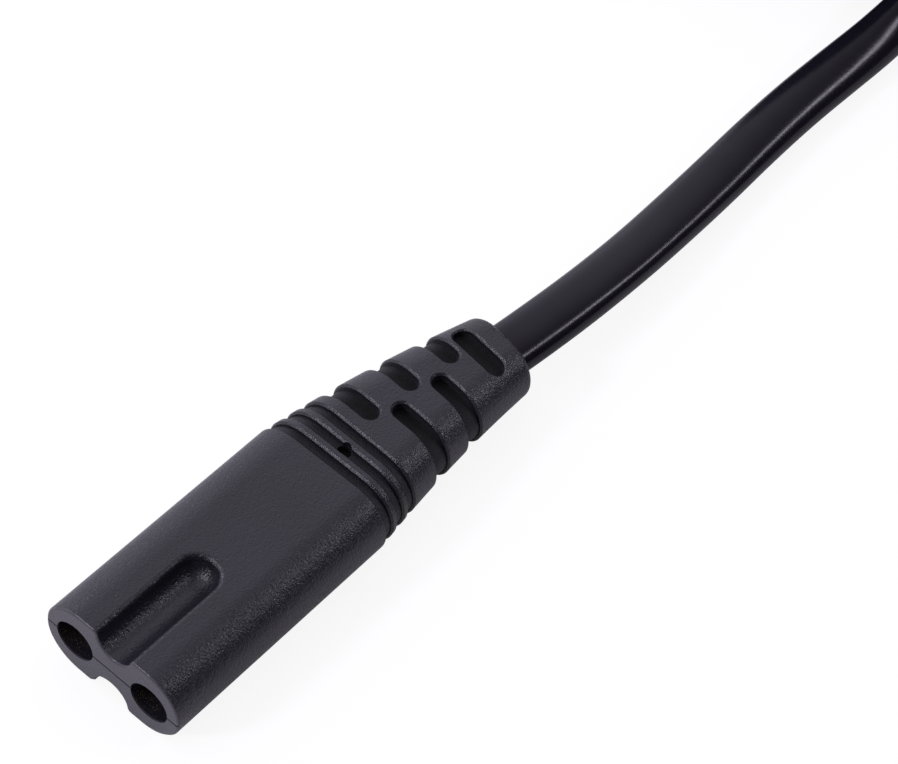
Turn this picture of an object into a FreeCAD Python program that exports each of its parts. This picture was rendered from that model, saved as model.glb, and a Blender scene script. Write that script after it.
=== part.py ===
import FreeCAD, Part
import math
import os

# A two-pole figure eight connector, moulded on a flat two-core mains lead that ends in a flat plug.
# Lengths are millimetres. While it is built, the connector's mating face is the plane y = 0, its cord
# leaves along +y and its underside is the plane z = 0. Each piece is moved to the part's own frame
# when it is written: the middle of the connector's underside is the origin there.

Vec = FreeCAD.Vector

# Connector block
PIN_SPACING = 8.6
BLOCK_WIDTH = 15.4
BLOCK_HEIGHT = 8.0
BLOCK_LENGTH = 26.6
ENTRY_RADIUS = 2.1
FRONT_WALL = 2.0
FRONT_BEVEL = 0.2
SEAM_WIDTH = 0.2
SEAM_DEPTH = 0.15

# Key grooves on the top and the underside, which make the figure eight
KEY_RADIUS = 1.9
KEY_DEPTH = 2.05
KEY_LENGTH = 12.0
KEY_RIM_ROUND = 0.6

# Ring grooves behind the block, shallower at the sides, and the gate dimple on the middle one
RING_COUNT = 3
RING_PITCH = 1.85
RING_WIDTH = 0.95
RING_DEPTH = 0.7
RING_SIDE_DEPTH = 0.35
FIRST_RING = 0.75
GATE_RADIUS = 0.7
GATE_DEPTH = 1.6

# Strain relief: its end wraps the cord with this wall, and its slots leave a thin floor over the cord.
# Slots open at the left and at the right take turns. The left ones stop short of the middle, the right
# ones cross it, and the last slot is closed at both ends.
RELIEF_LENGTH = 23.9
RELIEF_WALL = 1.6
RELIEF_END_ROUND = 0.8
SLOT_WIDTH = 1.9
SLOT_FLOOR = 0.35
SLOT_SIDE_DEPTH = 0.45
SLOT_PITCH = 5.2
LEFT_SLOTS = 3
FIRST_LEFT_SLOT = 7.4
LEFT_SLOT_TIP = -0.4
RIGHT_SLOTS = 2
FIRST_RIGHT_SLOT = 9.7
RIGHT_SLOT_TIP = -0.3
END_SLOT = 20.4
END_SLOT_WIDTH = 2.0
END_SLOT_LENGTH = 6.2
RIM_BEVEL = 0.2

# Flat cord with two cores, its length measured from relief to relief
CORD_WIDTH = 5.7
CORD_THICKNESS = 3.5
CORD_LENGTH = 1200.0
CORE_RADIUS = 1.05
CORE_OFFSET = 1.1
STRAND_RADIUS = 0.55
SHEATH_INSIDE = 19.5

# Contact sleeves, their crimp barrels and the insert that holds them
CONTACT_BORE = 1.25
CONTACT_WALL = 0.4
CONTACT_RECESS = 0.1
CONTACT_LENGTH = 11.0
CONTACT_MOUTH = 0.2
CONTACT_BACK = 0.8
CONTACT_SLIT = 0.4
CARRIER_WALL = 1.0
CARRIER_WEB = 2.4
NECK_LENGTH = 2.0
CRIMP_WALL = 0.45
CRIMP_LENGTH = 5.0
BARE_STRAND = 0.5
CORE_STRAIGHT = 0.6
MITRE_CLEAR = 0.1

# Flat mains plug
PLUG_WIDTH = 35.3
PLUG_HEIGHT = 13.7
PLUG_EDGE = 5.0
PLUG_LENGTH = 24.0
PLUG_GRIP = 11.0
PLUG_BEVEL = 0.8
PLUG_RELIEF_WIDTH = 12.4
PLUG_RELIEF_HEIGHT = 8.4
PLUG_RELIEF_LENGTH = 24.0
PLUG_RINGS = 4
PLUG_RING_PITCH = 4.2
PLUG_RING_WIDTH = 1.4
PLUG_RING_DEPTH = 0.6
PLUG_FIRST_RING = 5.0
PLUG_END_BEVEL = 0.6
PLUG_SHEATH_INSIDE = 25.0
MAINS_PIN_RADIUS = 2.0
MAINS_PIN_LENGTH = 19.0
MAINS_PIN_BEVEL = 0.9
MAINS_PIN_BACK = 0.5
MAINS_PIN_ROOT_SPACING = 18.6
MAINS_PIN_TIP_SPACING = 17.5
SLEEVE_LENGTH = 10.0
SLEEVE_RADIUS = 1.8
SLEEVE_WALL = 0.4
BRIDGE_WALL = 1.6
BRIDGE_LENGTH = 9.0
PLUG_CRIMP_LENGTH = 4.0

# Hank: turns lie on edge, in two columns, one layer on another
HANK_COLUMNS = 2
HANK_LAYERS = 4
HANK_INNER_RADIUS = 17.1
HANK_COLUMN_PITCH = 3.55
HANK_LAYER_PITCH = 5.75
HANK_LEAD_IN = 14.5
TIE_WIDTH = 7.0
TIE_THICKNESS = 0.6
TIE_ROUND = 0.5

# Cord routes. The lead's steps are (x, distance past the relief's end); it sinks to the floor and comes
# up to the hank's first layer. The tail's steps are (distance past the hank, share of the way from the
# hank's last layer over to the plug).
LEAD_STEPS = [(0.0, 0.0), (0.0, 12.0), (2.2, 28.0), (1.8, 44.0), (2.1, 56.0), (1.2, 65.5), (1.2, 72.5)]
LEAD_CLEAR = 0.2
TAIL_STEPS = [(0.0, 0.0), (12.0, 0.0), (23.2, 0.26), (32.0, 0.74), (43.2, 1.0), (55.2, 1.0)]
PLUG_X = -10.0
ARC_SHARE = 0.45

# Worked out from the sizes above
BLOCK_MID = BLOCK_HEIGHT / 2
CONNECTOR_LENGTH = BLOCK_LENGTH + RELIEF_LENGTH
RELIEF_END_WIDTH = CORD_WIDTH + 2 * RELIEF_WALL
RELIEF_END_HEIGHT = CORD_THICKNESS + 2 * RELIEF_WALL
SLOT_DEPTH = RELIEF_WALL - SLOT_FLOOR
CONTACT_RADIUS = CONTACT_BORE + CONTACT_WALL
CARRIER_RADIUS = CONTACT_RADIUS + CARRIER_WALL
CONTACT_START = FRONT_WALL + CONTACT_RECESS
CARRIER_END = CONTACT_START + CONTACT_LENGTH + CONTACT_BACK
CRIMP_RADIUS = STRAND_RADIUS + CRIMP_WALL
CRIMP_START = CARRIER_END + NECK_LENGTH
CRIMP_END = CRIMP_START + CRIMP_LENGTH
CORE_START = CRIMP_END + BARE_STRAND
SHEATH_START = CONNECTOR_LENGTH - SHEATH_INSIDE
PLUG_MID = PLUG_HEIGHT / 2
PLUG_CRIMP_START = -BRIDGE_LENGTH - MAINS_PIN_BACK
PLUG_CRIMP_END = PLUG_CRIMP_START - PLUG_CRIMP_LENGTH
PLUG_CORE_START = PLUG_CRIMP_END - BARE_STRAND
PLUG_SHEATH_END = PLUG_SHEATH_INSIDE - PLUG_LENGTH - PLUG_RELIEF_LENGTH
PLUG_END = -PLUG_LENGTH - PLUG_RELIEF_LENGTH
SIDES = ((-1, "left"), (1, "right"))
HANK_OUTER_RADIUS = HANK_INNER_RADIUS + (HANK_COLUMNS - 1) * HANK_COLUMN_PITCH
HANK_HEIGHT = HANK_LAYERS * HANK_LAYER_PITCH
HANK_FIRST = TIE_THICKNESS + HANK_LAYER_PITCH / 2
HANK_LAST = TIE_THICKNESS + HANK_HEIGHT - HANK_LAYER_PITCH / 2
HANK_X = LEAD_STEPS[-1][0] - HANK_OUTER_RADIUS
HANK_NEAR = CONNECTOR_LENGTH + LEAD_STEPS[-1][1] + HANK_LEAD_IN


def stadium(width, height, y, middle):
    """Upright outline with two flat sides and two full-round ends, at distance y along the part."""
    radius = height / 2
    flat = (width - height) / 2
    high = middle + radius
    low = middle - radius
    top = Part.LineSegment(Vec(-flat, y, high), Vec(flat, y, high))
    right = Part.Arc(Vec(flat, y, high), Vec(flat + radius, y, middle), Vec(flat, y, low))
    bottom = Part.LineSegment(Vec(flat, y, low), Vec(-flat, y, low))
    left = Part.Arc(Vec(-flat, y, low), Vec(-flat - radius, y, middle), Vec(-flat, y, high))
    return Part.Wire([side.toShape() for side in (top, right, bottom, left)])


def stadium_bar(width, height, start, end, middle):
    """Straight bar of one stadium section."""
    return Part.Face(stadium(width, height, start, middle)).extrude(Vec(0, end - start, 0))


def taper(first, last, middle):
    """Solid between two stadium sections, each given as (width, height, y)."""
    ends = [stadium(width, height, y, middle) for width, height, y in (first, last)]
    return Part.makeLoft(ends, True, True)


def across(start, length):
    """Slab that crosses the whole part between two distances."""
    reach = 4 * BLOCK_WIDTH
    return Part.makeBox(2 * reach, length, 2 * reach, Vec(-reach, start, -reach))


def edges_near_plane(shape, y, tolerance=1e-4):
    """Edges that lie whole in the plane at distance y."""
    found = []
    for edge in shape.Edges:
        box = edge.BoundBox
        if abs(box.YMin - y) < tolerance and abs(box.YMax - y) < tolerance:
            found.append(edge)
    return found


def key_groove(side):
    """Round-bottomed groove with a ball end, on the top (+1) or the underside (-1)."""
    middle = BLOCK_MID + side * (BLOCK_MID - KEY_DEPTH + KEY_RADIUS)
    straight = KEY_LENGTH - KEY_RADIUS
    bar = Part.makeCylinder(KEY_RADIUS, straight, Vec(0, 0, middle), Vec(0, 1, 0))
    ball = Part.makeSphere(KEY_RADIUS, Vec(0, straight, middle))
    return bar.fuse(ball)


def connector_block():
    """Moulded block with its key grooves, their soft rims and the bevelled front edge."""
    block = stadium_bar(BLOCK_WIDTH, BLOCK_HEIGHT, 0, BLOCK_LENGTH, BLOCK_MID)
    for side in (1, -1):
        block = block.cut(key_groove(side)).removeSplitter()
    rims = []
    for edge in block.Edges:
        box = edge.BoundBox
        on_skin = abs(abs(box.Center.z - BLOCK_MID) - BLOCK_MID) < 1e-4 and box.ZLength < 1e-4
        if on_skin and box.YMax < KEY_LENGTH + 1e-4 and abs(box.Center.x) < 1.01 * KEY_RADIUS:
            if box.YLength > 1e-4:
                rims.append(edge)
    block = block.makeFillet(KEY_RIM_ROUND, rims)
    return block.makeChamfer(FRONT_BEVEL, edges_near_plane(block, 0))


def round_slot(y, width, left, right):
    """Upright cutter across the part from x left to x right, with a round tip at each end."""
    radius = width / 2
    high = 4 * BLOCK_HEIGHT
    centres = (left + radius, right - radius)
    box = Part.makeBox(centres[1] - centres[0], width, high, Vec(centres[0], y - radius, -high / 2))
    tips = [Part.makeCylinder(radius, high, Vec(x, y, -high / 2), Vec(0, 0, 1)) for x in centres]
    return box.multiFuse(tips)


def soft_rims(shape, skin, start, end):
    """Bevel the edges that cuts have left on a skin between two distances along the part."""
    rims = []
    for edge in shape.Edges:
        box = edge.BoundBox
        if box.YMin < start or box.YMax > end:
            continue
        middle = edge.valueAt((edge.FirstParameter + edge.LastParameter) / 2)
        along = abs(edge.tangentAt((edge.FirstParameter + edge.LastParameter) / 2).y)
        if isinstance(edge.Curve, Part.Line) and along > 0.9:
            continue
        if skin.distToShape(Part.Vertex(middle))[0] < 1e-3:
            rims.append(edge)
    return shape.makeChamfer(RIM_BEVEL, rims)


def groove_floor(first, last, y, width, depth, side_depth, middle):
    """Bar that fills the relief to the floor of a groove centred at distance y, with one depth on the flats
    and one at the sides."""
    share = (y - first[2]) / (last[2] - first[2])
    wide = first[0] + share * (last[0] - first[0]) - 2 * side_depth
    high = first[1] + share * (last[1] - first[1]) - 2 * depth
    return stadium_bar(wide, high, y - width, y + width, middle)


def relief_slots():
    """Every slot of the connector's relief as (y, width, left end, right end), an open end far outside."""
    slots = []
    for number in range(LEFT_SLOTS):
        y = BLOCK_LENGTH + FIRST_LEFT_SLOT + number * SLOT_PITCH
        slots.append((y, SLOT_WIDTH, -2 * BLOCK_WIDTH, LEFT_SLOT_TIP))
    for number in range(RIGHT_SLOTS):
        y = BLOCK_LENGTH + FIRST_RIGHT_SLOT + number * SLOT_PITCH
        slots.append((y, SLOT_WIDTH, RIGHT_SLOT_TIP, 2 * BLOCK_WIDTH))
    slots.append((BLOCK_LENGTH + END_SLOT, END_SLOT_WIDTH, -END_SLOT_LENGTH / 2, END_SLOT_LENGTH / 2))
    return slots


def connector_relief():
    """The connector's relief with its slots, its ring grooves and the gate dimple in the middle one."""
    first = (BLOCK_WIDTH, BLOCK_HEIGHT, BLOCK_LENGTH)
    last = (RELIEF_END_WIDTH, RELIEF_END_HEIGHT, CONNECTOR_LENGTH)
    relief = taper(first, last, BLOCK_MID)
    skin = Part.Shell(relief.Faces)
    relief = relief.makeFillet(RELIEF_END_ROUND, edges_near_plane(relief, CONNECTOR_LENGTH))
    for y, width, left, right in relief_slots():
        floor = groove_floor(first, last, y, width, SLOT_DEPTH, SLOT_SIDE_DEPTH, BLOCK_MID)
        relief = relief.cut(round_slot(y, width, left, right).cut(floor))
    slots_start = BLOCK_LENGTH + FIRST_LEFT_SLOT - SLOT_WIDTH
    relief = soft_rims(relief, skin, slots_start, CONNECTOR_LENGTH - RELIEF_END_ROUND)
    rings = [BLOCK_LENGTH + FIRST_RING + number * RING_PITCH for number in range(RING_COUNT)]
    for y in rings:
        floor = groove_floor(first, last, y, RING_WIDTH, RING_DEPTH, RING_SIDE_DEPTH, BLOCK_MID)
        relief = relief.cut(across(y - RING_WIDTH / 2, RING_WIDTH).cut(floor))
    relief = soft_rims(relief, skin, BLOCK_LENGTH + RIM_BEVEL / 2, rings[-1] + RING_WIDTH)
    gate_low = Vec(0, rings[1], BLOCK_HEIGHT - GATE_DEPTH)
    return relief.cut(Part.makeCylinder(GATE_RADIUS, BLOCK_HEIGHT, gate_low, Vec(0, 0, 1)))


def cylinder(radius, x, start, end, middle):
    """Round bar along y."""
    return Part.makeCylinder(radius, end - start, Vec(x, start, middle), Vec(0, 1, 0))


def contact(side):
    """Rolled sleeve with a slit and a flared mouth, a closed back, a neck and a crimp barrel."""
    x = side * PIN_SPACING / 2
    bore_end = CONTACT_START + CONTACT_LENGTH
    sleeve = cylinder(CONTACT_RADIUS, x, CONTACT_START, CARRIER_END, BLOCK_MID)
    sleeve = sleeve.cut(cylinder(CONTACT_BORE, x, CONTACT_START, bore_end, BLOCK_MID))
    at_mouth = Vec(x, CONTACT_START, BLOCK_MID)
    flare = Part.makeCone(CONTACT_BORE + CONTACT_MOUTH, CONTACT_BORE, CONTACT_MOUTH, at_mouth, Vec(0, 1, 0))
    slit_low = Vec(x - CONTACT_SLIT / 2, CONTACT_START, BLOCK_MID - 2 * CONTACT_RADIUS)
    slit = Part.makeBox(CONTACT_SLIT, CONTACT_LENGTH, 2 * CONTACT_RADIUS, slit_low)
    at_neck = Vec(x, CARRIER_END, BLOCK_MID)
    neck = Part.makeCone(CONTACT_RADIUS, CRIMP_RADIUS, NECK_LENGTH, at_neck, Vec(0, 1, 0))
    barrel = cylinder(CRIMP_RADIUS, x, CRIMP_START, CRIMP_END, BLOCK_MID)
    whole = sleeve.cut(flare).cut(slit).multiFuse([neck, barrel])
    return whole.cut(cylinder(STRAND_RADIUS, x, CRIMP_START, CRIMP_END, BLOCK_MID)).removeSplitter()


def carrier_outside():
    """Two tubes joined by a web, without their bores."""
    places = (-PIN_SPACING / 2, PIN_SPACING / 2)
    tubes = [cylinder(CARRIER_RADIUS, x, FRONT_WALL, CARRIER_END, BLOCK_MID) for x in places]
    low = Vec(-PIN_SPACING / 2, FRONT_WALL, BLOCK_MID - CARRIER_WEB / 2)
    web = Part.makeBox(PIN_SPACING, CARRIER_END - FRONT_WALL, CARRIER_WEB, low)
    return web.multiFuse(tubes).removeSplitter()


def contact_carrier():
    """Insert that holds the two contact sleeves."""
    places = (-PIN_SPACING / 2, PIN_SPACING / 2)
    bores = [cylinder(CONTACT_RADIUS, x, FRONT_WALL, CARRIER_END, BLOCK_MID) for x in places]
    return carrier_outside().cut(bores[0]).cut(bores[1])


def core(side, middle, wide, start, end):
    """Insulated core: straight behind its crimp, swung over to its place in the sheath, straight again.

    Its straight ends are longer where the swing is so steep that the mitre needs it.
    """
    turn = math.atan2(wide - CORE_OFFSET, abs(end - start) - 2 * CORE_STRAIGHT)
    mitre = CORE_RADIUS * math.tan(turn / 2)
    ahead = math.copysign(max(CORE_STRAIGHT, mitre + MITRE_CLEAR), end - start)
    corners = [
        Vec(side * wide, start, middle),
        Vec(side * wide, start + ahead, middle),
        Vec(side * CORE_OFFSET, end - ahead, middle),
        Vec(side * CORE_OFFSET, end, middle),
    ]
    outline = Part.Wire([Part.Circle(corners[0], Vec(0, 1, 0), CORE_RADIUS).toShape()])
    path = Part.makePolygon(corners)
    return path.makePipeShell([outline], True, False, 1)


def connector_body(cores):
    """The moulding round everything inside it."""
    body = connector_block().fuse(connector_relief()).removeSplitter()
    for side in (-1, 1):
        x = side * PIN_SPACING / 2
        at_neck = Vec(x, CARRIER_END, BLOCK_MID)
        body = body.cut(cylinder(ENTRY_RADIUS, x, 0, FRONT_WALL, BLOCK_MID))
        body = body.cut(Part.makeCone(CONTACT_RADIUS, CRIMP_RADIUS, NECK_LENGTH, at_neck, Vec(0, 1, 0)))
        body = body.cut(cylinder(CRIMP_RADIUS, x, CRIMP_START, CRIMP_END, BLOCK_MID))
        body = body.cut(cylinder(STRAND_RADIUS, x, CRIMP_END, CORE_START, BLOCK_MID))
    body = body.cut(carrier_outside())
    for rod in cores:
        body = body.cut(rod)
    sheath = stadium_bar(CORD_WIDTH, CORD_THICKNESS, SHEATH_START, CONNECTOR_LENGTH, BLOCK_MID)
    seam_low = Vec(-BLOCK_WIDTH / 2, 0, BLOCK_MID - SEAM_WIDTH / 2)
    seam = Part.makeBox(BLOCK_WIDTH, SEAM_DEPTH, SEAM_WIDTH, seam_low)
    return body.cut(sheath).cut(seam)


def lead_route():
    """Corners of the lead: level out of the relief, along the floor and up to the hank's first layer."""
    low = CORD_THICKNESS / 2 + LEAD_CLEAR
    heights = [BLOCK_MID, BLOCK_MID] + [low] * (len(LEAD_STEPS) - 4) + [HANK_FIRST, HANK_FIRST]
    return [Vec(x, CONNECTOR_LENGTH + ahead, up) for (x, ahead), up in zip(LEAD_STEPS, heights)]


def tail_route(straight):
    """Corners of the tail behind a hank with straights of one length, down and over to the plug."""
    start = Vec(LEAD_STEPS[-1][0], HANK_NEAR + straight + HANK_LEAD_IN, HANK_LAST)
    over = Vec(PLUG_X - start.x, 0, PLUG_MID - start.z)
    return [start + Vec(0, ahead, 0) + over * share for ahead, share in TAIL_STEPS]


def route_path(corners):
    """Straight runs joined by tangent arcs, each as large as its two runs allow."""
    edges = []
    last = corners[0]
    for before, corner, after in zip(corners, corners[1:], corners[2:]):
        inward = (corner - before).normalize()
        outward = (after - corner).normalize()
        turn = inward.getAngle(outward)
        reach = ARC_SHARE * min((corner - before).Length, (after - corner).Length)
        radius = reach / math.tan(turn / 2)
        start = corner - inward * reach
        end = corner + outward * reach
        towards = (outward - inward).normalize()
        depth = radius / math.cos(turn / 2) - radius
        edges.append(Part.LineSegment(last, start).toShape())
        edges.append(Part.Arc(start, corner + towards * depth, end).toShape())
        last = end
    edges.append(Part.LineSegment(last, corners[-1]).toShape())
    return Part.Wire(edges)


def hank_straight():
    """Length of the hank's straights that brings the whole cord to its length. The cord fills every place
    on the side where it comes in and goes out, so it makes one turn less than there are places."""
    loose = route_path(lead_route()).Length + route_path(tail_route(0)).Length + 2 * HANK_LEAD_IN
    turns = HANK_COLUMNS * HANK_LAYERS - 1
    round_ends = turns * math.pi * (HANK_INNER_RADIUS + HANK_OUTER_RADIUS)
    return (CORD_LENGTH - loose - round_ends) / (2 * turns + 1)


def flat_tube(path):
    """Flat cord along a path, with its broad side level."""
    outline = Part.Face(stadium(CORD_WIDTH, CORD_THICKNESS, 0, 0))
    outline.translate(path.Edges[0].valueAt(path.Edges[0].FirstParameter))
    return path.makePipe(outline)


def plug_moulding():
    """Flat hexagon in section, drawn in to the relief in plan and in side view, pin face at y = 0."""
    half = PLUG_WIDTH / 2
    narrow = PLUG_RELIEF_WIDTH / 2
    thick = PLUG_MID
    thin = PLUG_RELIEF_HEIGHT / 2
    flank = half - PLUG_EDGE
    ridge = thick - PLUG_EDGE
    section = [(half, ridge), (flank, thick), (-flank, thick), (-half, ridge)]
    section = section + [(-half, -ridge), (-flank, -thick), (flank, -thick), (half, -ridge)]
    plan = [(half, 0), (half, -PLUG_GRIP), (narrow, -PLUG_LENGTH)]
    plan = plan + [(-narrow, -PLUG_LENGTH), (-half, -PLUG_GRIP), (-half, 0)]
    profile = [(thick, 0), (thick, -PLUG_GRIP), (thin, -PLUG_LENGTH)]
    profile = profile + [(-thin, -PLUG_LENGTH), (-thick, -PLUG_GRIP), (-thick, 0)]
    outlines = [
        ([Vec(x, -PLUG_LENGTH, PLUG_MID + up) for x, up in section], Vec(0, PLUG_LENGTH, 0)),
        ([Vec(x, y, 0) for x, y in plan], Vec(0, 0, PLUG_HEIGHT)),
        ([Vec(-half, y, PLUG_MID + up) for up, y in profile], Vec(PLUG_WIDTH, 0, 0)),
    ]
    prisms = []
    for corners, reach in outlines:
        prisms.append(Part.Face(Part.makePolygon(corners + corners[:1])).extrude(reach))
    moulding = prisms[0].common(prisms[1]).common(prisms[2]).removeSplitter()
    return moulding.makeChamfer(PLUG_BEVEL, edges_near_plane(moulding, 0))


def plug_relief():
    """The plug's tapering relief with its ring grooves."""
    first = (PLUG_RELIEF_WIDTH, PLUG_RELIEF_HEIGHT, -PLUG_LENGTH)
    last = (RELIEF_END_WIDTH, RELIEF_END_HEIGHT, PLUG_END)
    relief = taper(last, first, PLUG_MID)
    relief = relief.makeChamfer(PLUG_END_BEVEL, edges_near_plane(relief, PLUG_END))
    for number in range(PLUG_RINGS):
        y = -PLUG_LENGTH - PLUG_FIRST_RING - number * PLUG_RING_PITCH
        depth = PLUG_RING_DEPTH
        floor = groove_floor(first, last, y, PLUG_RING_WIDTH, depth, depth, PLUG_MID)
        relief = relief.cut(across(y - PLUG_RING_WIDTH / 2, PLUG_RING_WIDTH).cut(floor))
    return relief


def leaned(shape, side):
    """Lean a piece of a pin in towards the tip spacing, at its place in the plug's face."""
    lean = math.atan2((MAINS_PIN_ROOT_SPACING - MAINS_PIN_TIP_SPACING) / 2, MAINS_PIN_LENGTH)
    placed = shape.copy()
    placed.rotate(Vec(0, 0, 0), Vec(0, 0, 1), side * math.degrees(lean))
    placed.translate(Vec(side * MAINS_PIN_ROOT_SPACING / 2, 0, PLUG_MID))
    return placed


def mains_pin(side):
    """Pin with a bevelled tip, a thinner shank through the bridge and a crimp barrel behind it."""
    tip = cylinder(MAINS_PIN_RADIUS, 0, SLEEVE_LENGTH, MAINS_PIN_LENGTH, 0)
    tip = tip.makeChamfer(MAINS_PIN_BEVEL, edges_near_plane(tip, MAINS_PIN_LENGTH))
    shank = cylinder(SLEEVE_RADIUS - SLEEVE_WALL, 0, PLUG_CRIMP_START, SLEEVE_LENGTH, 0)
    barrel = cylinder(CRIMP_RADIUS, 0, PLUG_CRIMP_END, PLUG_CRIMP_START, 0)
    barrel = barrel.cut(cylinder(STRAND_RADIUS, 0, PLUG_CRIMP_END, PLUG_CRIMP_START, 0))
    return leaned(tip.multiFuse([shank, barrel]).removeSplitter(), side)


def pin_sleeve(side):
    """Insulating sleeve on the root of a pin, half of its length in the bridge."""
    start = -BRIDGE_LENGTH / 2
    tube = cylinder(SLEEVE_RADIUS, 0, start, SLEEVE_LENGTH, 0)
    return leaned(tube.cut(cylinder(SLEEVE_RADIUS - SLEEVE_WALL, 0, start, SLEEVE_LENGTH, 0)), side)


def plug_core(side):
    """Insulated core from a pin's crimp barrel to the sheath."""
    lean = (MAINS_PIN_ROOT_SPACING - MAINS_PIN_TIP_SPACING) / 2 / MAINS_PIN_LENGTH
    wide = MAINS_PIN_ROOT_SPACING / 2 - lean * PLUG_CORE_START
    return core(side, PLUG_MID, wide, PLUG_CORE_START, PLUG_SHEATH_END)


def plug_strand(side):
    """Bare conductor in a pin's crimp barrel, up to the end of its insulation."""
    bar = leaned(cylinder(STRAND_RADIUS, 0, PLUG_CORE_START, PLUG_CRIMP_START, 0), side)
    return bar.cut(plug_core(side))


def bridge_outside():
    """Stadium block round both pins, set in the plug's face."""
    height = 2 * (SLEEVE_RADIUS + BRIDGE_WALL)
    return stadium_bar(MAINS_PIN_ROOT_SPACING + height, height, -BRIDGE_LENGTH, 0, PLUG_MID)


def plug_pieces():
    """All pieces of the plug by name, in the plug's own place with its pin face at y = 0."""
    pieces = {}
    body = plug_moulding().fuse(plug_relief()).removeSplitter().cut(bridge_outside())
    bridge = bridge_outside()
    for side, word in SIDES:
        pin = mains_pin(side)
        sleeve = pin_sleeve(side)
        rod = plug_core(side)
        strand = plug_strand(side)
        bridge = bridge.cut(pin).cut(sleeve)
        body = body.cut(pin).cut(strand).cut(rod)
        pieces["plug_pin_" + word] = pin
        pieces["pin_sleeve_" + word] = sleeve
        pieces["plug_core_" + word] = rod
        pieces["plug_strand_" + word] = strand
    sheath = stadium_bar(CORD_WIDTH, CORD_THICKNESS, PLUG_END, PLUG_SHEATH_END, PLUG_MID)
    pieces["plug_body"] = body.cut(sheath)
    pieces["plug_bridge"] = bridge
    return pieces


def oblong(radius, straight, height):
    """Upright bar round the hank's two centres of turn."""
    near = HANK_NEAR
    far = near + straight
    right = Part.LineSegment(Vec(radius, near, 0), Vec(radius, far, 0))
    far_end = Part.Arc(Vec(radius, far, 0), Vec(0, far + radius, 0), Vec(-radius, far, 0))
    left = Part.LineSegment(Vec(-radius, far, 0), Vec(-radius, near, 0))
    near_end = Part.Arc(Vec(-radius, near, 0), Vec(0, near - radius, 0), Vec(radius, near, 0))
    outline = Part.Wire([side.toShape() for side in (right, far_end, left, near_end)])
    bar = Part.Face(outline).extrude(Vec(0, 0, height))
    bar.translate(Vec(HANK_X, 0, TIE_THICKNESS))
    return bar


def cord_hank(straight):
    """Outer shape of all the hank's turns, with the stubs where the lead comes in and the tail goes out."""
    half = CORD_THICKNESS / 2
    ring = oblong(HANK_OUTER_RADIUS + half, straight, HANK_HEIGHT)
    ring = ring.cut(oblong(HANK_INNER_RADIUS - half, straight, HANK_HEIGHT))
    stubs = []
    for start, middle in ((HANK_NEAR - HANK_LEAD_IN, HANK_FIRST), (HANK_NEAR + straight, HANK_LAST)):
        corner = Vec(LEAD_STEPS[-1][0] - half, start, middle - HANK_LAYER_PITCH / 2)
        stubs.append(Part.makeBox(CORD_THICKNESS, HANK_LEAD_IN, HANK_LAYER_PITCH, corner))
    return ring.multiFuse(stubs).removeSplitter()


def hank_tie(straight):
    """Flat band round the middle of the hank."""
    half = HANK_OUTER_RADIUS + CORD_THICKNESS / 2
    low = Vec(HANK_X - half, HANK_NEAR + (straight - TIE_WIDTH) / 2, TIE_THICKNESS)
    inside = Part.makeBox(2 * half, TIE_WIDTH, HANK_HEIGHT, low)
    wall = Vec(TIE_THICKNESS, 0, TIE_THICKNESS)
    wide = 2 * (half + TIE_THICKNESS)
    outside = Part.makeBox(wide, TIE_WIDTH, HANK_HEIGHT + 2 * TIE_THICKNESS, low - wall)
    corners = [edge for edge in outside.Edges if edge.BoundBox.YLength > TIE_WIDTH / 2]
    return outside.makeFillet(TIE_ROUND, corners).cut(inside)


def connector_pieces():
    """All pieces of the connector by name."""
    pieces = {}
    half_pitch = PIN_SPACING / 2
    cores = []
    for side, word in SIDES:
        rod = core(side, BLOCK_MID, half_pitch, CORE_START, SHEATH_START)
        cores.append(rod)
        pieces["contact_" + word] = contact(side)
        pieces["core_" + word] = rod
        place = side * half_pitch
        pieces["strand_" + word] = cylinder(STRAND_RADIUS, place, CRIMP_START, CORE_START, BLOCK_MID)
    pieces["connector_body"] = connector_body(cores)
    pieces["contact_carrier"] = contact_carrier()
    return pieces


def cord_pieces(straight):
    """The cord's stretches, hank and tie by name."""
    inside = Part.LineSegment(Vec(0, SHEATH_START, BLOCK_MID), lead_route()[0]).toShape()
    lead = Part.Wire([inside] + route_path(lead_route()).Edges)
    entry = tail_route(straight)[-1]
    inside = Part.LineSegment(entry, entry + Vec(0, PLUG_SHEATH_INSIDE, 0)).toShape()
    tail = Part.Wire(route_path(tail_route(straight)).Edges + [inside])
    return {
        "cord_lead": flat_tube(lead),
        "cord_hank": cord_hank(straight),
        "hank_tie": hank_tie(straight),
        "cord_tail": flat_tube(tail),
    }


def build():
    """All pieces by name, each moved to the part's own frame."""
    straight = hank_straight()
    entry = tail_route(straight)[-1]
    to_origin = Vec(0, -CONNECTOR_LENGTH / 2, 0)
    to_plug = to_origin + Vec(entry.x, entry.y - PLUG_END, 0)
    groups = (
        (connector_pieces(), to_origin),
        (cord_pieces(straight), to_origin),
        (plug_pieces(), to_plug),
    )
    placed = {}
    for pieces, place in groups:
        for name, shape in pieces.items():
            shape.translate(place)
            placed[name] = shape
    print("hank straight", round(straight, 2), "plug relief ends at", round(entry.y, 2))
    return placed


os.makedirs("parts", exist_ok=True)
for name, shape in build().items():
    print(name, len(shape.Solids), shape.isValid(), round(shape.Volume, 2))
    shape.exportStep("parts/" + name + ".step")
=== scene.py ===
# %% [markdown]
# # A figure eight power connector on its flat lead
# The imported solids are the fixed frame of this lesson: the moulded connector, what is inside it, the plug
# and a plain stand-in for the cord. Here they get their finishes, the relief bends with the cord, the cord
# becomes a real flat cord, and a floor, lamps and a camera are added. Blender works in metres, so sizes are
# written in millimetres and multiplied by MM where they are used.

import math

import bpy
import bmesh
from mathutils import Matrix, Quaternion, Vector
from mathutils.bvhtree import BVHTree


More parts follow.
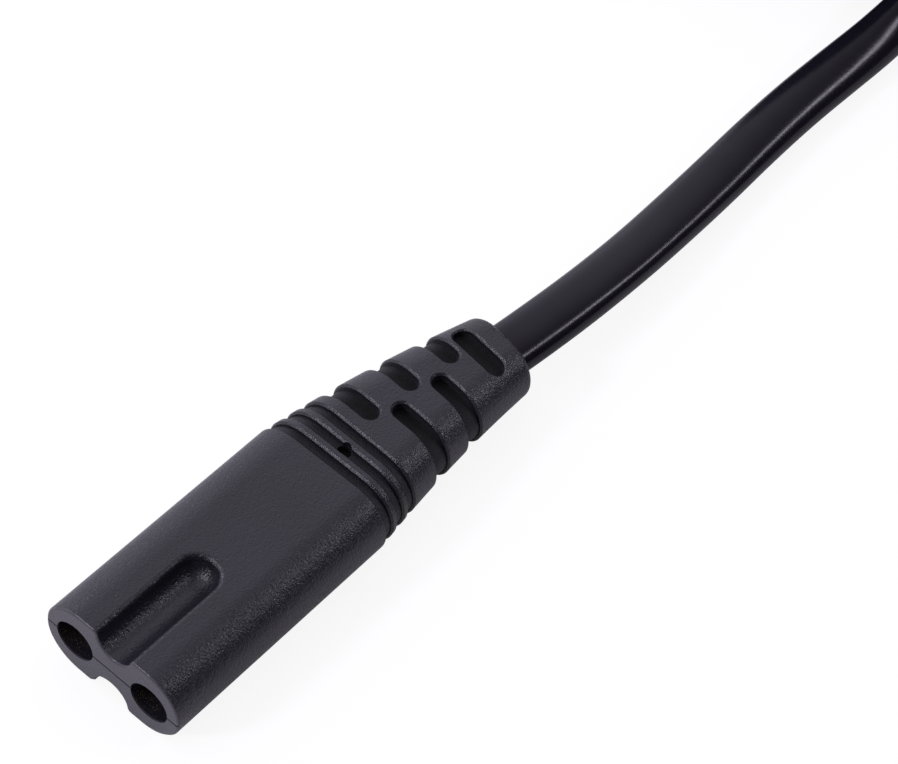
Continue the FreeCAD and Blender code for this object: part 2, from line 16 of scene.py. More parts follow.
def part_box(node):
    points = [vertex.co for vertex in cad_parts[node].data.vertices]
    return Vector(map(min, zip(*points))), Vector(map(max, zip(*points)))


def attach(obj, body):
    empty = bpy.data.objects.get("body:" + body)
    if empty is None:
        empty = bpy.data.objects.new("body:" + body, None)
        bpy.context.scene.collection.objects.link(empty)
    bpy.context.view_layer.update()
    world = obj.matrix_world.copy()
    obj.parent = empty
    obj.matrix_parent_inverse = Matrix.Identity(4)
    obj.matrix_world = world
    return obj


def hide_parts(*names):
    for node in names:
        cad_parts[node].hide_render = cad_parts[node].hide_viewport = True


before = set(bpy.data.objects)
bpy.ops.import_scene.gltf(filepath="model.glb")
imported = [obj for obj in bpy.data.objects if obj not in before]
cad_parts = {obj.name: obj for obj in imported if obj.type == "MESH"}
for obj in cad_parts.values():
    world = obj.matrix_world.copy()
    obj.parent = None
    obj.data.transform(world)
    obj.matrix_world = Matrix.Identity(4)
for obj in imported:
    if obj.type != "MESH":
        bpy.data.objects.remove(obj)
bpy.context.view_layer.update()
MM = 0.001

# %% [markdown]
# ## Four helpers
# Colours are easiest to compare with a photo as sRGB hex codes, but a shader works with linear light, so one
# function turns a code into linear values. Another adds one node, with its settings, plain values and links.
# The third starts a material from its Principled shader, and the last turns a finished bmesh into an object
# at the origin, as the solids are, so that a pattern stays where it is on the piece.

# %% Helpers for finishes and pieces


def linear(code):
    """Linear RGBA of an sRGB hex code."""
    parts = [int(code[i:i + 2], 16) / 255 for i in (1, 3, 5)]
    return [c / 12.92 if c <= 0.04045 else ((c + 0.055) / 1.055) ** 2.4 for c in parts] + [1.0]


def add(tree, kind, settings=None, **inputs):
    """One node of a kind. A socket given as an input is linked, and any other value is set.

    An input is given by its name, or as i and its number where sockets share a name.
    """
    made = tree.nodes.new("ShaderNode" + kind)
    for name, value in (settings or {}).items():
        setattr(made, name, value)
    for name, value in inputs.items():
        numbered = name[0] == "i" and name[1:].isdigit()
        socket = made.inputs[int(name[1:]) if numbered else name.replace("_", " ")]
        if isinstance(value, bpy.types.NodeSocket):
            tree.links.new(value, socket)
        else:
            socket.default_value = value
    return made


def finish_named(name):
    """A new material, its node tree and its Principled shader."""
    made = bpy.data.materials.new(name)
    made.use_nodes = True
    tree = made.node_tree
    return made, tree, tree.nodes["Principled BSDF"]


def piece_of(bm, name, finish):
    """A new object with the mesh of a bmesh and one finish. The bmesh is used up."""
    mesh = bpy.data.meshes.new(name)
    bm.to_mesh(mesh)
    bm.free()
    mesh.materials.append(finish)
    made = bpy.data.objects.new(name, mesh)
    bpy.context.collection.objects.link(made)
    print(name, "has", len(mesh.polygons), "faces")
    return made


# %% [markdown]
# ## The soft PVC moulding
# The connector and the plug are moulded from soft PVC. The mould was spark eroded, so the skin has a fine
# even grain of shallow pits that breaks every highlight into sparkle. Grain could be modelled, but at a
# fifth of a millimetre it is far finer than the mesh, so it is a bump made from two sizes of noise. Only the
# mating face was left smoother. It is found by where it is, just behind the front of the solid.

# %% Grain of the moulding
GRAIN_MM, GRAIN_DEPTH_MM = 0.2, 0.07
PIT_MM, PIT_SHARE = 0.36, 0.35
FACE_SKIN_MM, FACE_GRAIN = 0.1, 0.25
body_low, body_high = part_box("connector_body")
face_y = body_low[1]
moulded_pvc, tree, shader = finish_named("soft_pvc_spark_eroded_grain")
place = add(tree, "TexCoord").outputs["Object"]
grain = add(tree, "TexNoise", Vector=place, Scale=1 / (GRAIN_MM * MM), Detail=2.0, Roughness=0.6)
pits = add(tree, "TexVoronoi", {"feature": "SMOOTH_F1"}, Vector=place, Scale=1 / (PIT_MM * MM))
pitted = {"i0": pits.outputs["Distance"], "i1": PIT_SHARE, "i2": grain.outputs["Fac"]}
pitted_grain = add(tree, "Math", {"operation": "MULTIPLY_ADD"}, **pitted)
along = add(tree, "SeparateXYZ", Vector=place).outputs["Y"]
behind_face = {"From_Min": face_y + FACE_SKIN_MM * MM, "From_Max": face_y + 2 * FACE_SKIN_MM * MM}
skin = add(tree, "MapRange", Value=along, **behind_face).outputs[0]
coarse = add(tree, "MapRange", Value=skin, To_Min=FACE_GRAIN, To_Max=1.0).outputs[0]
bump = add(tree, "Bump", Height=pitted_grain.outputs[0], Strength=coarse, Distance=GRAIN_DEPTH_MM * MM)
tree.links.new(bump.outputs[0], shader.inputs["Normal"])
print(moulded_pvc.name, "has a grain of", GRAIN_MM, "mm")

# %% [markdown]
# The colour is a black that wavers a little, as moulded PVC does, and the smoother mating face is painted
# paler, as a painted reflection of the white floor.
# The slots and rings of the relief are dull, and their colour is painted near black as painted shade.
# They could get a material of their own, but that would end in a hard line at each rim, so a value on the
# mesh says how deep a place lies and mixes the two. It is set below, where that mesh is made.

# %% Colour and gloss of the moulding
CLOUD_MM = 9.0
MOULDING_IOR = 1.46
SLOT_ROUGHNESS = 0.9
cloud = add(tree, "TexNoise", Vector=place, Scale=1 / (CLOUD_MM * MM), Detail=3.0)
shade = add(tree, "ValToRGB", Fac=cloud.outputs["Fac"])
for stop, position, code in zip(shade.color_ramp.elements, (0.3, 0.7), ("#131319", "#191920")):
    stop.position = position
    stop.color = linear(code)
# The mating face is painted paler: a painted reflection of the white floor.
outside = add(tree, "Mix", {"data_type": "RGBA"}, i0=skin, i6=linear("#403f45"), i7=shade.outputs[0])
depth = add(tree, "Attribute", {"attribute_name": "recess_shade_and_dullness"}).outputs["Fac"]
# Deep places in the slots and rings are painted near black: painted shade, mixed in by depth.
colour = add(tree, "Mix", {"data_type": "RGBA"}, i0=depth, i6=outside.outputs[2], i7=linear("#050507"))
tree.links.new(colour.outputs[2], shader.inputs["Base Color"])
gloss = {"From_Min": 0.3, "From_Max": 0.7, "To_Min": 0.24, "To_Max": 0.38}
rough = add(tree, "MapRange", Value=grain.outputs["Fac"], **gloss)
dull = add(tree, "Mix", {"data_type": "FLOAT"}, i0=depth, i2=rough.outputs[0], i3=SLOT_ROUGHNESS)
tree.links.new(dull.outputs[0], shader.inputs["Roughness"])
shader.inputs["IOR"].default_value = MOULDING_IOR
print(moulded_pvc.name, "has", len(tree.nodes), "nodes")

# %% [markdown]
# ## The cord's sheath
# The sheath is extruded PVC. It was drawn through a smooth die, so it is darker and glossier than the
# moulding, with only a slight waviness. The waves could be in the mesh, but they are a few hundredths of a
# millimetre deep, so one coarse noise is their bump, and a fine one lets the gloss waver.

# %% Extruded PVC sheath
WAVE_MM, WAVE_DEPTH_MM = 2.4, 0.06
FINE_MM = 0.3
PLASTIC_IOR = 1.53
SHEATH_SPECULAR = 0.18
sheath_pvc, tree, shader = finish_named("extruded_pvc_sheath")
place = add(tree, "TexCoord").outputs["Object"]
wave = add(tree, "TexNoise", Vector=place, Scale=1 / (WAVE_MM * MM), Detail=3.0)
fine = add(tree, "TexNoise", Vector=place, Scale=1 / (FINE_MM * MM), Detail=1.0)
bump = add(tree, "Bump", Height=wave.outputs["Fac"], Strength=0.25, Distance=WAVE_DEPTH_MM * MM)
gloss = {"From_Min": 0.3, "From_Max": 0.7, "To_Min": 0.18, "To_Max": 0.23}
rough = add(tree, "MapRange", Value=fine.outputs["Fac"], **gloss)
shade = add(tree, "ValToRGB", Fac=wave.outputs["Fac"])
shade.color_ramp.elements[0].color = linear("#0d0c12")
shade.color_ramp.elements[1].color = linear("#15131b")
tree.links.new(shade.outputs[0], shader.inputs["Base Color"])
tree.links.new(rough.outputs[0], shader.inputs["Roughness"])
tree.links.new(bump.outputs[0], shader.inputs["Normal"])
shader.inputs["IOR"].default_value = PLASTIC_IOR
shader.inputs["Specular IOR Level"].default_value = SHEATH_SPECULAR
print(sheath_pvc.name, "has waves of", WAVE_MM, "mm")

# %% [markdown]
# ## Metals, inserts and insulation
# These show little: a glint of brass deep in each hole, and the plug's nickel-plated pins with their sleeves.
# Flat colours would do from afar, but drawn metal is streaked along the draw and an extruded core along its
# length, so one function makes them all from a noise of a real size that is stretched along the lead.

# %% Small finishes
ROUGHNESS_SPREAD = 0.06
STREAK_DEPTH_MM = 0.02


def plain_finish(name, dark, light, pattern_mm, stretch, roughness, metallic=0.0):
    """A finish whose colour and roughness waver on a noise of one real size, stretched along y."""
    made, tree, shader = finish_named(name)
    place = add(tree, "TexCoord").outputs["Object"]
    scale = Vector((1, 1 / stretch, 1)) / (pattern_mm * MM)
    spread = add(tree, "Mapping", Vector=place, Scale=scale)
    noise = add(tree, "TexNoise", Vector=spread.outputs[0], Scale=1.0, Detail=2.0)
    shade = add(tree, "ValToRGB", Fac=noise.outputs["Fac"])
    shade.color_ramp.elements[0].color = linear(dark)
    shade.color_ramp.elements[1].color = linear(light)
    gloss = {"To_Min": roughness - ROUGHNESS_SPREAD, "To_Max": roughness + ROUGHNESS_SPREAD}
    rough = add(tree, "MapRange", Value=noise.outputs["Fac"], **gloss)
    bump = add(tree, "Bump", Height=noise.outputs["Fac"], Strength=0.2, Distance=STREAK_DEPTH_MM * MM)
    tree.links.new(shade.outputs[0], shader.inputs["Base Color"])
    tree.links.new(rough.outputs[0], shader.inputs["Roughness"])
    tree.links.new(bump.outputs[0], shader.inputs["Normal"])
    shader.inputs["Metallic"].default_value = metallic
    if not metallic:
        shader.inputs["IOR"].default_value = PLASTIC_IOR
    return made


rolled_brass = plain_finish("rolled_brass", "#a5813f", "#d6b56c", 0.2, 8.0, 0.28, metallic=1.0)
bare_copper = plain_finish("bare_copper_strand", "#a8623c", "#cf8a5e", 0.15, 12.0, 0.3, metallic=1.0)
plated_pin = plain_finish("nickel_plated_brass", "#b9b4a8", "#d9d5cb", 0.12, 10.0, 0.24, metallic=1.0)
hard_insert = plain_finish("moulded_black_polyamide", "#141415", "#1c1c1e", 0.5, 1.0, 0.45)
blue_core = plain_finish("extruded_blue_pvc", "#23459a", "#2f55ad", 0.8, 3.0, 0.38)
brown_core = plain_finish("extruded_brown_pvc", "#553221", "#64402c", 0.8, 3.0, 0.38)
print("materials so far:", len(bpy.data.materials))

# %% [markdown]
# The solids keep their meshes, and each only gets the finish of what it is. That could be typed piece by
# piece, but most come in pairs, so a loop puts their names together.

# %% Finishes of the solids
finishes = {
    "connector_body": moulded_pvc, "plug_body": moulded_pvc,
    "contact_carrier": hard_insert, "plug_bridge": hard_insert,
}
for side, core_finish in (("left", blue_core), ("right", brown_core)):
    finishes["contact_" + side] = rolled_brass
    finishes["plug_pin_" + side] = plated_pin
    finishes["pin_sleeve_" + side] = hard_insert
    for owner in ("", "plug_"):
        finishes[owner + "core_" + side] = core_finish
        finishes[owner + "strand_" + side] = bare_copper
for name, finish in finishes.items():
    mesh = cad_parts[name].data
    mesh.materials.clear()
    mesh.materials.append(finish)
print("finished nodes:", len(finishes))

# %% [markdown]
# ## The relief bends with the cord
# The relief is slotted so that it gives way, and the cord has drawn it a little to the right. The solid is
# straight, as it comes from the mould. A bent one could be modelled again, but it only has to curve, so a
# copy of its mesh is laid on one large arc that starts where the block ends.

# %% Arc of the relief
BLOCK_LENGTH = 26.6
BEND_RADIUS = 163.0
bend_y = face_y + BLOCK_LENGTH * MM


def on_arc(point):
    """Where a point of the straight relief lies once its axis follows the arc."""
    ahead = point.y - bend_y
    if ahead <= 0:
        return point
    turn = ahead / (BEND_RADIUS * MM)
    reach = BEND_RADIUS * MM - point.x
    return Vector((BEND_RADIUS * MM - reach * math.cos(turn), bend_y + reach * math.sin(turn), point.z))


print("the relief's end moves", on_arc(Vector((0, body_high[1], 0))).x / MM, "mm")

# %% [markdown]
# A long flat face can't bend, so the copy is cut into thin slices behind the block. Its loose triangles are
# merged first, and those in one plane are joined to whole faces, which shade evenly.

# %% Slice a copy of the moulding
MERGE = 0.001
COPLANAR = 0.2
SLICE, CUT_SNAP = 1.2, 0.02
bm = bmesh.new()
bm.from_mesh(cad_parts["connector_body"].data)
bmesh.ops.remove_doubles(bm, verts=bm.verts, dist=MERGE * MM)
bmesh.ops.dissolve_limit(bm, angle_limit=math.radians(COPLANAR), verts=bm.verts[:], edges=bm.edges[:])
cut_y = bend_y + SLICE * MM
while cut_y < body_high[1]:
    every_part = bm.verts[:] + bm.edges[:] + bm.faces[:]
    at_cut = {"plane_co": (0, cut_y, 0), "plane_no": (0, 1, 0)}
    bmesh.ops.bisect_plane(bm, geom=every_part, dist=CUT_SNAP * MM, **at_cut)
    cut_y += SLICE * MM
print("sliced copy:", len(bm.faces), "faces")

# %% [markdown]
# How deep a point lies in a slot or ring could be worked out from their sizes. A hull drawn tight over the
# whole moulding knows it already: a point's distance to the hull is its depth. It is stored on the mesh for
# the painted shade and the dullness of the finish, before the point moves to the arc.

# %% Depth in the slots, then the bend
FULL_DEPTH = 1.0
hull = bmesh.new()
for vert in bm.verts:
    hull.verts.new(vert.co)
bmesh.ops.convex_hull(hull, input=hull.verts[:])
over_slots = BVHTree.FromBMesh(hull)
hull.free()
# This depth sets the painted shade and the dullness of the slots and rings.
recess_shade_and_dullness = bm.verts.layers.float.new("recess_shade_and_dullness")
for vert in bm.verts:
    *_, deep = over_slots.find_nearest(vert.co)
    vert[recess_shade_and_dullness] = min(deep / (FULL_DEPTH * MM), 1.0) if vert.co.y > bend_y else 0.0
    vert.co = on_arc(vert.co)
print("points in slots and rings:", sum(vert[recess_shade_and_dullness] > 0.5 for vert in bm.verts))

# %% [markdown]
# The rims have narrow bevels. Shaded flat they look cut, and shaded smoothly everywhere the flat faces look
# swollen, so only edges that turn a little are smooth, with a wider limit on the block, whose edges are
# softer. Weighted normals then let the large faces stay flat.

# %% Shade and place the moulding
SHARP_TURN, BLOCK_TURN = 35.0, 60.0


def soft_shading(bm, edges, degrees):
    """Shade all faces smoothly, but keep the given edges sharp where they turn by more than an angle."""
    for face in bm.faces:
        face.smooth = True
    for edge in edges:
        edge.smooth = edge.calc_face_angle(math.pi) < math.radians(degrees)


soft_shading(bm, bm.edges, SHARP_TURN)
block_edges = [edge for edge in bm.edges if all(vert.co.y < bend_y for vert in edge.verts)]
soft_shading(bm, block_edges, BLOCK_TURN)
bent_moulding = piece_of(bm, "connector_moulding", moulded_pvc)
bent_moulding.modifiers.new("even_normals", "WEIGHTED_NORMAL").keep_sharp = True
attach(bent_moulding, "root")
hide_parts("connector_body")

# %% [markdown]
# ## The flat cord
# A flat two-core cord bends easily only one way, so on the floor it twists: it leaves the relief nearly
# level, tips over along the floor and stands on edge in the hank. It could be a mesh drawn ring by ring, but
# one smooth spline carries the whole cord, and the turn of its section is the tilt of the spline's points.
# The loose stretch follows the photo, so its points are listed one by one.

# %% Loose stretch of the cord
CORD_WIDTH, CORD_THICKNESS = 5.7, 3.5
CORD_HEIGHT = 4.0
CORD_INSIDE = 5.0
inside = on_arc(Vector((0, body_high[1] - CORD_INSIDE * MM, CORD_HEIGHT * MM))) / MM
relief_end = on_arc(Vector((0, body_high[1], CORD_HEIGHT * MM))) / MM
# Each point is x, y and z in millimetres and the section's tilt in degrees.
route = [
    (*inside, 0.0), (*relief_end, 0.0),
    (2.42, 32.9, 3.9, 0.0), (2.66, 39.0, 3.55, -2.0), (2.66, 45.8, 3.0, -2.0), (2.46, 52.9, 2.55, 2.0),
    (2.23, 60.3, 2.3, 8.0), (1.93, 67.8, 2.25, 14.0), (1.86, 75.4, 2.25, 18.0), (2.12, 82.6, 2.3, 22.0),
    (2.5, 89.7, 2.45, 30.0), (2.5, 95.5, 2.75, 44.0), (1.9, 101.5, 3.2, 66.0), (1.3, 107.5, 3.45, 84.0),
]
print("points of the loose stretch:", len(route))

# %% [markdown]
# The hank has the places of its turns in two columns and four layers. A loop walks from each place to the
# next: along one side, round the far end, back, and round the near end, where it changes over. A spline cuts
# its corners, so the points of a half turn lie a little outside its circle.

# %% Turns of the hank
HANK_PITCH, LAYER_PITCH, HANK_LAYERS = 3.55, 5.75, 4
ON_EDGE = 90.0
TURN_STEP = 30
POLYGON = 1 / math.cos(math.radians(TURN_STEP / 2))
hank_low, hank_high = [Vector(corner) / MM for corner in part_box("cord_hank")]
hank_x = (hank_low.x + hank_high.x) / 2
hank_outer = (hank_high.x - hank_low.x - CORD_THICKNESS) / 2
hank_inner = hank_outer - HANK_PITCH
hank_near = hank_low.y + hank_outer + CORD_THICKNESS / 2
hank_far = hank_high.y - hank_outer - CORD_THICKNESS / 2


def half_turn(first_angle, middle_y, here, there):
    """Points of half a turn round one end of the hank, from one place (radius, height) to another."""
    points = []
    for degrees in range(TURN_STEP, 180, TURN_STEP):
        part = degrees / 180
        share = part * part * (3 - 2 * part)
        reach = (here[0] + share * (there[0] - here[0])) * POLYGON
        height = here[1] + share * (there[1] - here[1])
        turn = math.radians(first_angle + degrees)
        points.append((hank_x + reach * math.cos(turn), middle_y + reach * math.sin(turn), height, ON_EDGE))
    return points


places = []
for layer in range(HANK_LAYERS):
    pair = [hank_outer, hank_inner] if layer % 2 == 0 else [hank_inner, hank_outer]
    places += [(radius, hank_low.z + (layer + 0.5) * LAYER_PITCH) for radius in pair]
for here, there in zip(places, places[1:]):
    radius, height = here
    route += [(hank_x + radius, y, height, ON_EDGE) for y in (hank_near, hank_far)]
    route += half_turn(0, hank_far, here, here)
    route += [(hank_x - radius, y, height, ON_EDGE) for y in (hank_far, hank_near)]
    route += half_turn(180, hank_near, here, there)
print("turns in the hank:", len(places) - 1)

# %% [markdown]
# The tail leaves the last layer, comes down and over to the plug and turns flat again on the way. A straight
# line would leave the hank with a kink, so its steps are shares of the way, with a soft start and end.

# %% Tail of the cord
HANK_LEAD_IN = 14.5
# Each step is a distance past the hank, a share of the way over to the plug and a tilt.
TAIL = ((0, 0, 86), (12, 0, 70), (23.2, 0.26, 50), (32, 0.74, 30), (43.2, 1, 8), (55.2, 1, 0), (60, 1, 0))
plug_low, plug_high = [Vector(corner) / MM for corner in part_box("plug_body")]
plug_x = (plug_low.x + plug_high.x) / 2
plug_mid = (plug_low.z + plug_high.z) / 2
radius, height = places[-1]
side_x = hank_x + radius
route += [(side_x, y, height, ON_EDGE) for y in (hank_near, hank_far)]
for ahead, share, tilt in TAIL:
    x = side_x + share * (plug_x - side_x)
    route.append((x, hank_far + HANK_LEAD_IN + ahead, height + share * (plug_mid - height), tilt))
print("points of the whole cord:", len(route))

# %% [markdown]
# ## The tie
# A woven polyester band holds the hank: once round its middle, with the end lapped over the start. A closed
# ring would do from afar, but it would have no end. So one flat section is extruded along each straight run
# and spun round each corner, as the band was laid.

# %% Band of the tie
TIE_THICKNESS, TIE_CORNER, TIE_GAP = 0.6, 1.2, 0.03
TIE_START, TIE_LAP, TIE_RISE = 4.0, 14.0, 3.0
CORNER_STEPS = 6
tie_near, tie_far = [corner[1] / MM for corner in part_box("hank_tie")]
first_x = hank_x + TIE_START
right_x, left_x = hank_high.x - TIE_CORNER, hank_low.x + TIE_CORNER
top_z, bottom_z = hank_high.z - TIE_CORNER, hank_low.z + TIE_CORNER
bm = bmesh.new()


def run_on(end, x, z):
    """Extrude the end of the band by a step in x and z, and give back its new end."""
    end = bmesh.ops.extrude_face_region(bm, geom=end)["geom"]
    verts = [part for part in end if isinstance(part, bmesh.types.BMVert)]
    bmesh.ops.translate(bm, verts=verts, vec=Vector((x, 0, z)) * MM)
    return end


outside_z = hank_high.z + TIE_THICKNESS
flat = ((tie_near, hank_high.z), (tie_far, hank_high.z), (tie_far, outside_z), (tie_near, outside_z))
start = bm.faces.new([bm.verts.new(Vector((first_x, y, z)) * MM) for y, z in flat])
end = [start, *start.edges, *start.verts]
# Each run is a step in x and z, and the middle of the corner that comes after it.
runs = (
    (right_x - first_x, 0, right_x, top_z), (0, bottom_z - top_z, right_x, bottom_z),
    (left_x - right_x, 0, left_x, bottom_z), (0, top_z - bottom_z, left_x, top_z),
)
for x, z, middle_x, middle_z in runs:
    end = run_on(end, x, z)
    corner = {"cent": Vector((middle_x, 0, middle_z)) * MM, "axis": (0, 1, 0), "angle": math.pi / 2}
    end = bmesh.ops.spin(bm, geom=end, steps=CORNER_STEPS, **corner)["geom_last"]
end = run_on(end, first_x - TIE_RISE - left_x, 0)
end = run_on(end, TIE_RISE, TIE_THICKNESS + TIE_GAP)
run_on(end, TIE_LAP, 0)
bmesh.ops.recalc_face_normals(bm, faces=bm.faces)
print("band of the tie:", len(bm.faces), "faces")

# %% [markdown]
# A woven edge is turned over and soft, so the long edges are bevelled. They are the ones that stay at one
# distance along the hank and turn by a right angle.

# %% Soft edges of the tie
TIE_EDGE = 0.15
LEVEL, SQUARE_TURN = 1e-9, 1.0
level_edges = [edge for edge in bm.edges if abs(edge.verts[0].co.y - edge.verts[1].co.y) < LEVEL]
band_edges = [edge for edge in level_edges if edge.calc_face_angle() > SQUARE_TURN]
soft_edge = {"offset": TIE_EDGE * MM, "offset_type": "OFFSET", "segments": 2, "profile": 0.5}
bmesh.ops.bevel(bm, geom=band_edges, affect="EDGES", material=-1, **soft_edge)
soft_shading(bm, bm.edges, SHARP_TURN)
print("bevelled edges of the tie:", len(band_edges))

# %% [markdown]
# The weave shows as ribs along the band, with the fuzz of its threads over them. Single threads would take
# thousands of faces, so the ribs are the bands of a wave, and a noise roughens them. A little sheen gives the
# soft pale edge of cloth.

# %% Weave of the tie
RIB_MM, FUZZ_MM = 0.7, 0.3
FUZZ_SHARE = 0.6
WEAVE_DEPTH_MM = 0.1
# A wave texture repeats every pi / 10 of its scaled coordinate, so this scale gives one rib every RIB_MM.
rib_scale = math.pi / (10 * RIB_MM * MM)
woven_band, tree, shader = finish_named("woven_polyester_band")
place = add(tree, "TexCoord").outputs["Object"]
rib = add(tree, "TexWave", {"bands_direction": "Y"}, Vector=place, Scale=rib_scale, Distortion=0.4)
fuzz = add(tree, "TexNoise", Vector=place, Scale=1 / (FUZZ_MM * MM), Detail=2.0)
fuzzy = {"i0": fuzz.outputs["Fac"], "i1": FUZZ_SHARE, "i2": rib.outputs["Fac"]}
thread = add(tree, "Math", {"operation": "MULTIPLY_ADD"}, **fuzzy)
shade = add(tree, "ValToRGB", Fac=fuzz.outputs["Fac"])
shade.color_ramp.elements[0].color = linear("#101012")
shade.color_ramp.elements[1].color = linear("#26262a")
bump = add(tree, "Bump", Height=thread.outputs[0], Strength=0.6, Distance=WEAVE_DEPTH_MM * MM)
tree.links.new(shade.outputs[0], shader.inputs["Base Color"])
tree.links.new(bump.outputs[0], shader.inputs["Normal"])
shader.inputs["Roughness"].default_value = 0.75
shader.inputs["Sheen Weight"].default_value = 0.2
tie = piece_of(bm, "tie_band", woven_band)
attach(tie, "root")
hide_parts("hank_tie")

# %% [markdown]
# ## Sweep the cord
# The section is a small closed oval, flatter than an ellipse, swept along the spline. It is only a tool, so
# it is hidden.

# %% Section of the cord
OVAL_POWER = 2.2
OVAL_POINTS = 32


def oval(share):
    """A sine or cosine, pressed outwards so that a circle of them becomes a flatter oval."""
    return math.copysign(abs(share) ** (2 / OVAL_POWER), share)


section = bpy.data.curves.new("cord_section", "CURVE")
outline = section.splines.new("POLY")
outline.points.add(OVAL_POINTS - 1)
for number, point in enumerate(outline.points):
    turn = 2 * math.pi * number / OVAL_POINTS
    across = oval(math.cos(turn)) * CORD_WIDTH / 2
    upward = oval(math.sin(turn)) * CORD_THICKNESS / 2
    point.co = (across * MM, upward * MM, 0, 1)
outline.use_cyclic_u = True
section_tool = bpy.data.objects.new("cord_section", section)
bpy.context.collection.objects.link(section_tool)
section_tool.hide_render = True
section_tool.hide_viewport = True
print("section of the cord:", CORD_WIDTH, "by", CORD_THICKNESS, "mm")

# %% [markdown]
# The spline's order is set after its points are there, because a short spline would refuse it. Its section
# keeps its upward side up, and the tilt turns it from there.

# %% The cord along its route
cord_curve = bpy.data.curves.new("cord", "CURVE")
cord_curve.dimensions = "3D"
cord_curve.twist_mode = "Z_UP"
spline = cord_curve.splines.new("NURBS")
spline.points.add(len(route) - 1)
for point, (x, y, z, tilt) in zip(spline.points, route):
    point.co = (x * MM, y * MM, z * MM, 1)
    point.tilt = math.radians(tilt)
spline.order_u = 3
spline.use_endpoint_u = True
spline.resolution_u = 6
cord_curve.bevel_mode = "OBJECT"
cord_curve.bevel_object = section_tool
cord_curve.use_fill_caps = True
cord_curve.materials.append(sheath_pvc)
cord = bpy.data.objects.new("flat_cord", cord_curve)
bpy.context.collection.objects.link(cord)
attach(cord, "root")
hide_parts("cord_lead", "cord_hank", "cord_tail")

# %% [markdown]
# ## The floor
# The connector lies on a white paper sweep. A plain white floor comes out grey in soft light, and a brighter
# lamp would turn the black plastic grey too. So the paper glows where the camera sees it, and only faintly
# where the plastic mirrors it, and the rest of it is real paper that keeps a faint shadow.

# %% White paper sweep
FLOOR_HALF = 1.5
PAPER_GLOW, MIRRORED_GLOW = 0.8, 0.05
GLOW_STRENGTH = 1.1
white_paper, tree, shader = finish_named("white_paper_sweep")
shader.inputs["Base Color"].default_value = linear("#d8d8d8")
shader.inputs["Roughness"].default_value = 0.9
rays = add(tree, "LightPath").outputs
seen = add(tree, "Math", {"operation": "MAXIMUM"}, i0=rays["Is Camera Ray"], i1=rays["Is Transmission Ray"])
direct = add(tree, "Math", {"operation": "MULTIPLY"}, i0=seen.outputs[0], i1=PAPER_GLOW)
mirrored = add(tree, "Math", {"operation": "MULTIPLY"}, i0=rays["Is Glossy Ray"], i1=MIRRORED_GLOW)
share = add(tree, "Math", {"operation": "MAXIMUM"}, i0=direct.outputs[0], i1=mirrored.outputs[0])
glow = add(tree, "Emission", Color=(1, 1, 1, 1), Strength=GLOW_STRENGTH)
both = add(tree, "MixShader", i0=share.outputs[0], i1=shader.outputs[0], i2=glow.outputs[0])
tree.links.new(both.outputs[0], tree.nodes["Material Output"].inputs["Surface"])
bm = bmesh.new()
bmesh.ops.create_grid(bm, x_segments=1, y_segments=1, size=FLOOR_HALF)
floor = piece_of(bm, "floor", white_paper)

# %% [markdown]
# ## Light and camera
# The sky is bright at the upper left and dark at the right, as beside a large window, which gives a black
# object its soft grey top. An even sky would be simpler, but it would leave no side in shade.

# %% Sky
BRIGHT_SIDE = Vector((-0.8, 0.3, 0.52)).normalized()
world = bpy.data.worlds.new("white_studio")
bpy.context.scene.world = world
world.use_nodes = True
tree = world.node_tree
ray = add(tree, "TexCoord").outputs["Generated"]
toward = add(tree, "VectorMath", {"operation": "DOT_PRODUCT"}, i0=ray, i1=BRIGHT_SIDE)
sky = add(tree, "ValToRGB", Fac=toward.outputs["Value"])
dark_sky, bright_sky = sky.color_ramp.elements
dark_sky.color, dark_sky.position = (0.052, 0.048, 0.06, 1), 0.1
bright_sky.color, bright_sky.position = (1.115, 1.065, 1.24, 1), 0.8
tree.links.new(sky.outputs[0], tree.nodes["Background"].inputs["Color"])
tree.nodes["Background"].inputs["Strength"].default_value = 1.0
print(world.name, "is bright towards", tuple(BRIGHT_SIDE))

# %% [markdown]
# A small lamp at the front left lights the mating face and the rims, another at the left the left edge, a
# weak one near the camera fills the recesses, and a strip lamp behind at the right draws the sparkle on the
# shoulder and the highlight along the cord. All look at the connector. Spot lamps could be aimed the same
# way, but their shadows are hard, and a lamp with a size gives a soft one.

# %% Lamps
LAMP_COLOUR = (0.91, 0.87, 1.0)
STRIP_ROLL = 50.0


def soft_box(name, place, target, size, watts, roll=0.0):
    """A rectangular lamp that looks at a point, rolled about its line by an angle in degrees."""
    lamp = bpy.data.lights.new(name, "AREA")
    lamp.shape = "RECTANGLE"
    lamp.size, lamp.size_y = size
    lamp.energy = watts
    lamp.color = LAMP_COLOUR
    made = bpy.data.objects.new(name, lamp)
    made.location = place
    aimed = (Vector(target) - Vector(place)).to_track_quat("-Z", "Y")
    made.rotation_euler = (aimed @ Quaternion((0, 0, 1), math.radians(roll))).to_euler()
    bpy.context.collection.objects.link(made)
    print(name, "gives", watts, "W")


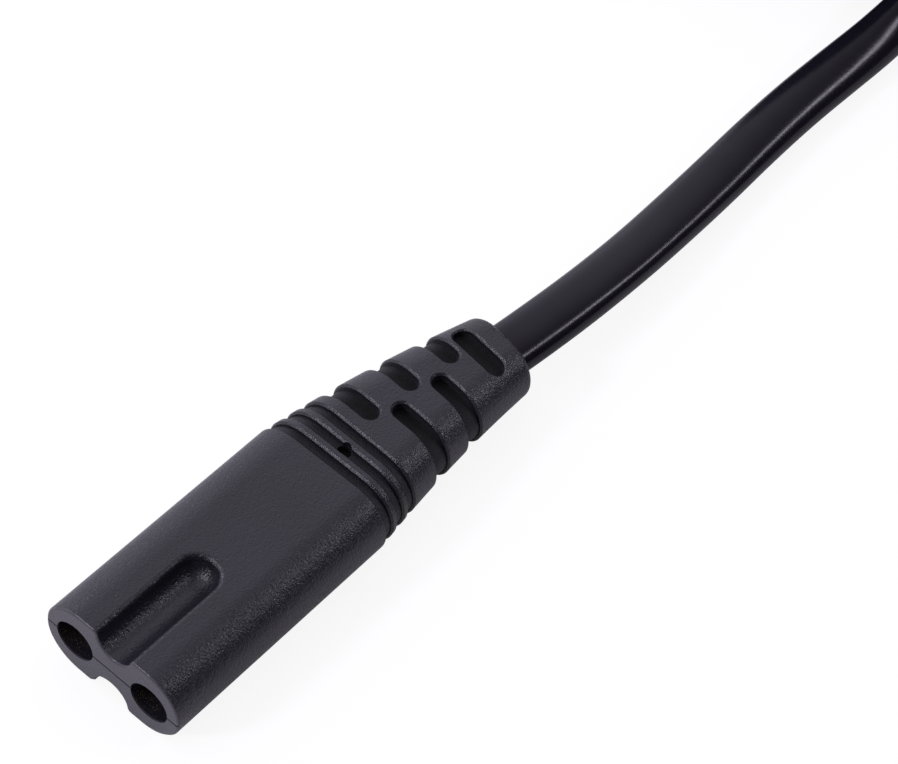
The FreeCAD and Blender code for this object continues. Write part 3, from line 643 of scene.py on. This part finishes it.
soft_box("front_left_box", (-0.36, -0.77, 0.52), (0, 0, 0), (0.15, 0.15), 5.0)
soft_box("left_box", (-0.9, -0.04, 0.42), (0, 0, 0), (0.15, 0.15), 1.5)
soft_box("camera_side_box", (0.25, -0.45, 0.85), (0, 0, 0), (0.5, 0.5), 1.0)
soft_box("right_back_box", (0.54, 0.6, 0.62), (0, 0.02, 0), (0.08, 0.5), 2.2, roll=STRIP_ROLL)
bpy.context.scene.view_settings.view_transform = "Standard"

# %% [markdown]
# The camera looks at a point on the floor from the photo's angle: turned to the right of the connector's
# axis, raised, and rolled about its own line of sight. A rotation could be typed in directly, but these three
# angles can each be read and changed by themselves.

# %% Camera
VIEW_AZIMUTH, VIEW_ELEVATION, VIEW_ROLL = [math.radians(angle) for angle in (29.834, 51.450, 12.619)]
VIEW_DISTANCE = 244.709
VIEW_AIM = Vector((-1.265, 21.892, 0.0))
LENS, SENSOR = 102.893, 36.0
NEAREST = 0.01
level = math.cos(VIEW_ELEVATION)
backward = Vector((math.sin(VIEW_AZIMUTH) * level, -math.cos(VIEW_AZIMUTH) * level, math.sin(VIEW_ELEVATION)))
level_right = Vector((math.cos(VIEW_AZIMUTH), math.sin(VIEW_AZIMUTH), 0))
right = math.cos(VIEW_ROLL) * level_right + math.sin(VIEW_ROLL) * backward.cross(level_right)
turned = Matrix((right, backward.cross(right), backward)).transposed().to_4x4()
lens_view = bpy.data.cameras.new("photo_view")
lens_view.sensor_fit = "HORIZONTAL"
lens_view.sensor_width = SENSOR
lens_view.lens = LENS
lens_view.clip_start = NEAREST
camera = bpy.data.objects.new("photo_view", lens_view)
camera.matrix_world = Matrix.Translation((VIEW_AIM + VIEW_DISTANCE * backward) * MM) @ turned
bpy.context.collection.objects.link(camera)
bpy.context.scene.camera = camera
print("camera at", tuple(camera.matrix_world.translation))

# %% [markdown]
# ## Update
# Last, the scene is brought up to date.

# %% Update of the scene
bpy.context.view_layer.update()
